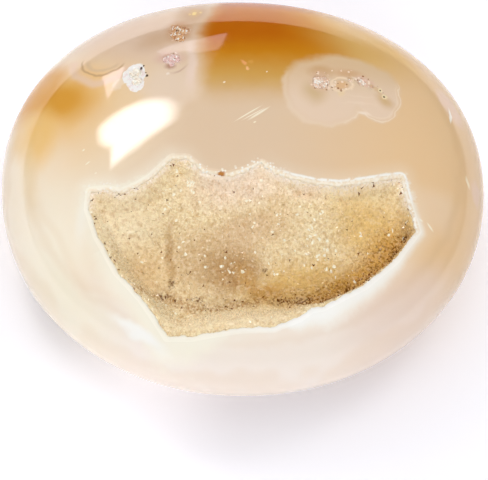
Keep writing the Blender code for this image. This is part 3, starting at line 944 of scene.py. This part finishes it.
# Dark smudges along the crevice and the near right wall: painted shade there, broken up by the grain
broken_up = strayed(tree, place, 2.4, 0.5)
for x, y, radius_x, radius_y, turn in (
    (-10.6, -18.0, 1.1, 0.6, 0), (-9.6, -16.6, 0.6, 0.9, 0), (4.0, -18.9, 1.3, 0.5, 0),
    (7.5, -19.0, 1.8, 0.6, 5), (13.4, -17.4, 1.8, 0.5, 30), (10.4, -18.7, 1.4, 0.4, 20),
    (17.8, -11.6, 1.0, 0.6, 0), (19.6, -12.4, 1.2, 0.5, 55), (2.6, -15.4, 0.5, 0.4, 0),
    (-6.4, -18.6, 1.2, 0.4, 0), (16.6, -14.6, 1.2, 0.4, 45),
):
    painted_shade_smudge = patch(tree, broken_up, x, y, radius_x, radius_y, turn, 0.2)
    painted_shade_smudge = product(tree, painted_shade_smudge, fade(tree, grain, 0.4, 0.58), 0.85)
    colour = tint(tree, painted_shade_smudge, colour, seen(110, 64, 18))
# Frosty along the far rim
far_side = fade(tree, axis(tree, place, 1), -9.0, -7.0)
frost = product(tree, fade(tree, stored(tree, "edge_gap"), 1.2, 0.1), far_side, fade(tree, grain, 0.3, 0.6))
colour = tint(tree, frost, colour, seen(252, 236, 220))
# The whole a little brighter
colour = join(tree, "VectorMath", {0: colour, "Scale": 1.05}, operation="SCALE")
# The dark crystals, and the painted glints as faces painted nearly white
colour = odd_crystals(tree, colour, seen(116, 66, 14), (1, 0.93, 0.76, 1))
tree.links.new(colour, shader.inputs["Base Color"])
druse.data.materials.append(druse_material)
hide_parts("druzy_crust")

# The crystals of the four small pits: white, pink and golden quartz in hollows a few millimetres wide, each a
# bed like the pocket's. By pit: its finish, its darkest and its palest tone, its shares of dark crystals and of
# crystals painted white as glints, and its outline.
PIT_QUARTZ = {
    "eye_pit": ("pink_quartz", (232, 202, 180), (252, 234, 218), 0.02, 0.16, (
        (8.9, 10.2), (9.7, 11.8), (11.2, 11.9), (12.6, 11.2), (14.4, 12.0), (16.4, 11.5), (18.3, 10.4),
        (19.4, 8.9), (18.6, 8.1), (17.1, 9.3), (15.2, 9.9), (13.0, 9.0), (11.4, 8.7), (10.0, 8.5),
    )),
    "white_pit": ("white_quartz", (248, 234, 218), (255, 253, 242), 0.0, 0.06, (
        (-15.6, 12.3), (-15.1, 13.8), (-13.9, 14.0), (-12.9, 12.6), (-13.3, 10.8), (-14.4, 9.9), (-15.2, 10.8),
    )),
    "pink_pit": ("pink_quartz", (234, 194, 186), (252, 234, 230), 0.02, 0.12, (
        (-10.8, 14.9), (-10.2, 16.1), (-8.9, 16.0), (-8.2, 14.7), (-8.8, 13.3), (-10.1, 13.3),
    )),
    "gold_pit": ("golden_quartz", (204, 150, 102), (240, 204, 164), 0.05, 0.14, (
        (-10.3, 20.2), (-9.9, 21.9), (-9.0, 21.5), (-8.2, 22.6), (-7.8, 20.9), (-6.9, 20.4), (-7.7, 19.4),
        (-7.8, 18.0), (-9.0, 18.7), (-9.8, 18.2),
    )),
}
for name, (slot, low, high, dark, bright, corners) in PIT_QUARTZ.items():
    depth, dips = SMALL_PITS[name]
    outline = evenly_round([Vector(corner) * MM for corner in corners], 60)

    def bed_height(point):
        return top_height(*point) - (0.5 if depth_in_dips(dips, point) > -0.1 else 1.2) * depth

    pit_crystals = crystal_crust(
        name + "_crystals", outline, bed_height, step=0.28 * MM, point_height=0.2 * MM, thickness=0.3 * MM,
        look_at=lambda point: (0, dark, bright), seed=40,
    )
    pit_material = quartz_material(name + "_quartz", low, high, 0.2)[0]
    pit_crystals.data.materials.append(pit_material)
    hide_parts(name + "_crust")

# The table that the stone lies on. A wide white sheet, flat under the stone and curling up far round it, with
# a faint glow of its own, because the light in the room also comes from all the places that aren't built.
TABLE_RADIUS, CURL_RADIUS, CURL_STEPS, CURL_ANGLE = 500 * MM, 200 * MM, 8, math.radians(65)
bm = bmesh.new()
bmesh.ops.create_circle(bm, segments=96, radius=TABLE_RADIUS, cap_ends=True)
edges = list(bm.edges)
for step in range(1, CURL_STEPS + 1):
    turn = step / CURL_STEPS * CURL_ANGLE
    corners, edges = next_ring(bm, edges)
    for vert in corners:
        out = vert.co.xy.normalized() * (TABLE_RADIUS + CURL_RADIUS * math.sin(turn))
        vert.co = (*out, CURL_RADIUS * (1 - math.cos(turn)))
bmesh.ops.recalc_face_normals(bm, faces=bm.faces)
table = as_piece(bm, "table")
table.data.shade_smooth()
table_material, tree, shader = new_material("white_table")
place = in_millimetres(tree)
across = axis(tree, place, 0)
behind = axis(tree, place, 1)
height = axis(tree, place, 2)
# Degrees clockwise from straight behind the stone
bearing = product(tree, maths(tree, "ARCTAN2", across, behind), math.degrees(1))
# Far behind the stone a painted pool of light: brighter, warm and with a glow of its own, which the polish
# reflects; to the right of it warmer, then dark where it curls up at the right
far = fade(tree, behind, 55, 120)
beyond = product(tree, far, line_at(tree, bearing, 27, 14))
painted_light_pool = product(tree, fade(tree, bearing, -28, -18), 0.35)
painted_light_pool = maths(tree, "MULTIPLY_ADD", fade(tree, bearing, -4, 1), 0.65, painted_light_pool)
painted_light_pool = product(tree, painted_light_pool, far, fade(tree, bearing, 22, 14))
dark = product(tree, fade(tree, height, 0, 40), fade(tree, across, 80, 300))
for socket, near, warm in (
    ("Base Color", (0.87, 0.87, 0.92, 1), (0.86, 0.68, 0.4, 1)),
    ("Emission Color", (1, 0.98, 1.03, 1), (1, 0.8, 0.45, 1)),
):
    shown = tint(tree, painted_light_pool, tint(tree, beyond, near, warm), (0.88, 0.78, 0.62, 1))
    shown = tint(tree, dark, shown, (0.05, 0.04, 0.03, 1))
    tree.links.new(shown, shader.inputs[socket])
shader.inputs["Roughness"].default_value = 0.9
shader.inputs["Specular IOR Level"].default_value = 0.0
# The glow is painted to lighten the stone's shadow on the near left and behind it, and a painted shadow darkens
# it close under the stone's left side
glow = maths(tree, "MULTIPLY_ADD", line_at(tree, bearing, -147, 34), 0.2, 0.17)
glow = maths(tree, "MULTIPLY_ADD", fade(tree, behind, -8, 12), 0.06, glow)
painted_contact_shadow = fade(tree, oval(tree, place, 0, 0, 32.7, 29.8), 1.02, 0.93)
painted_contact_shadow = product(tree, painted_contact_shadow, line_at(tree, bearing, -110, 24))
glow = maths(tree, "MULTIPLY_ADD", painted_contact_shadow, -0.09, glow)
tree.links.new(maths(tree, "MULTIPLY_ADD", painted_light_pool, 0.7, glow), shader.inputs["Emission Strength"])
table.data.materials.append(table_material)


# The lights. Soft round lamps above, behind, at the right and in front, and bright cards that show only as
# reflections: the window's highlight on the left shoulder, and the pink and pale shapes above it.
def heading(azimuth, elevation):
    """A direction by degrees clockwise from +Y and degrees above the table."""
    azimuth, elevation = math.radians(azimuth), math.radians(elevation)
    return Vector((
        math.sin(azimuth) * math.cos(elevation), math.cos(azimuth) * math.cos(elevation), math.sin(elevation)
    ))


def soft_light(name, azimuth, elevation, distance, size, power):
    """A round white lamp that points at the stone and doesn't show on its polish."""
    light = bpy.data.lights.new(name, "AREA")
    light.shape = "DISK"
    light.size = size
    light.energy = power
    lamp = bpy.data.objects.new(name, light)
    lamp.location = heading(azimuth, elevation) * distance
    lamp.rotation_euler = heading(azimuth, elevation).to_track_quat("Z", "Y").to_euler()
    lamp.visible_glossy = False
    bpy.context.scene.collection.objects.link(lamp)


def panel(name, seen_from, corners, distance, strength, colour=(1, 1, 1), soft=0):
    """A bright panel seen only in reflections, its corners as azimuth and elevation from a place on the stone.

    With some softness, it dims towards its edges.
    """
    bm = bmesh.new()
    glow = bm.verts.layers.float.new("glow")
    start = Vector(seen_from) * MM
    edge = [start + heading(*corner) * distance for corner in corners]
    middle = sum(edge, Vector()) / len(edge)
    face = bm.faces.new([bm.verts.new(corner) for corner in edge])
    for vert in bm.verts:
        vert[glow] = 0 if soft else 1
    if soft:
        bmesh.ops.inset_individual(bm, faces=[face], thickness=0)
        for vert, corner in zip(face.verts, edge):
            vert.co = corner.lerp(middle, soft)
            vert[glow] = 1
    card = as_piece(bm, name)
    material, tree, shader = new_material(name)
    tree.nodes.remove(shader)
    light = join(
        tree, "Emission", {"Color": (*colour, 1), "Strength": product(tree, stored(tree, "glow"), strength)}
    )
    tree.links.new(light, tree.nodes["Material Output"].inputs["Surface"])
    card.data.materials.append(material)
    card.visible_camera = card.visible_diffuse = card.visible_shadow = card.visible_transmission = False


soft_light("overhead", 50, 81, 1.3, 1.4, 9.5)
soft_light("window", -35, 50, 1.0, 0.6, 2.7)
soft_light("side_window", 60, 55, 1.0, 0.35, 1.0)
soft_light("front_fill", 185, 28, 1.2, 1.0, 7)
panel(
    "softbox", (-14, 4, 24),
    ((-35.7, 41.0), (-30.4, 41.1), (-25.8, 41.3), (-20.6, 41.7), (-16.2, 42.8), (-13.0, 44.4), (-11.3, 46.6),
     (-11.4, 48.6), (-12.8, 51.0), (-15.3, 52.0), (-19.6, 52.9), (-24.5, 53.4), (-28.3, 53.9), (-34.4, 53.6),
     (-40.1, 53.2), (-44.5, 52.6), (-41.0, 50.6), (-38.5, 48.9), (-40.2, 46.8), (-40.4, 44.6), (-37.8, 41.6)),
    1.2, 12.5, soft=0.3,
)
panel(
    "pink_board", (-7, 17, 22),
    ((-13, 24.6), (-11, 23.1), (-8, 22.5), (-5, 21.8), (-0.7, 18.8), (-1.5, 25.8), (-2.4, 29.1), (-5.2, 29.6),
     (-8.3, 27.4), (-11.7, 29.1)),
    1.2, 2.2, (1, 0.92, 1.02),
)
panel(
    "pale_board", (-7, 17, 22), ((-5, 29.6), (-2.4, 30), (-4, 36), (-7, 47), (-12, 48), (-9, 38)),
    1.25, 0.7, (1, 0.88, 0.84),
)
panel(
    "pink_wedge", (-18, 12, 22), ((-25.8, 25.3), (-23.3, 25.9), (-19.9, 26.6), (-22.3, 31.0), (-28.4, 36.3)),
    1.2, 4.4, (1, 0.86, 0.98),
)
# An octagon overhead, which makes the druse's points sparkle
panel("spark_lamp", (0, -12, 20), [(k * 45, 79) for k in range(8)], 1.2, 7)

# The room. A dim white light comes from all round it, and the picture shows the colours as they are, without
# the curve of a film.
world = bpy.data.worlds.new("studio")
world.use_nodes = True
world.node_tree.nodes["Background"].inputs["Color"].default_value = (1, 1, 1, 1)
world.node_tree.nodes["Background"].inputs["Strength"].default_value = 0.06
bpy.context.scene.world = world
bpy.context.scene.view_settings.view_transform = "Standard"

# The camera. It looks down at the stone from the near side, as in the photo, a hair to the left and aimed
# below the stone's middle, so that the stone stands high in the picture.
camera = bpy.data.objects.new("camera", bpy.data.cameras.new("camera"))
bpy.context.scene.collection.objects.link(camera)
bpy.context.scene.camera = camera
camera.data.lens = 163.4
camera.data.sensor_width = 36
camera.data.clip_start = 10 * MM
AIM, AIM_BELOW, DISTANCE = Vector((0, 0, 12 * MM)), 6.13 * MM, 300 * MM
turned = heading(180.7, 60).to_track_quat("Z", "Y")
camera.location = AIM + turned @ Vector((0, -AIM_BELOW, DISTANCE))
camera.rotation_euler = turned.to_euler()
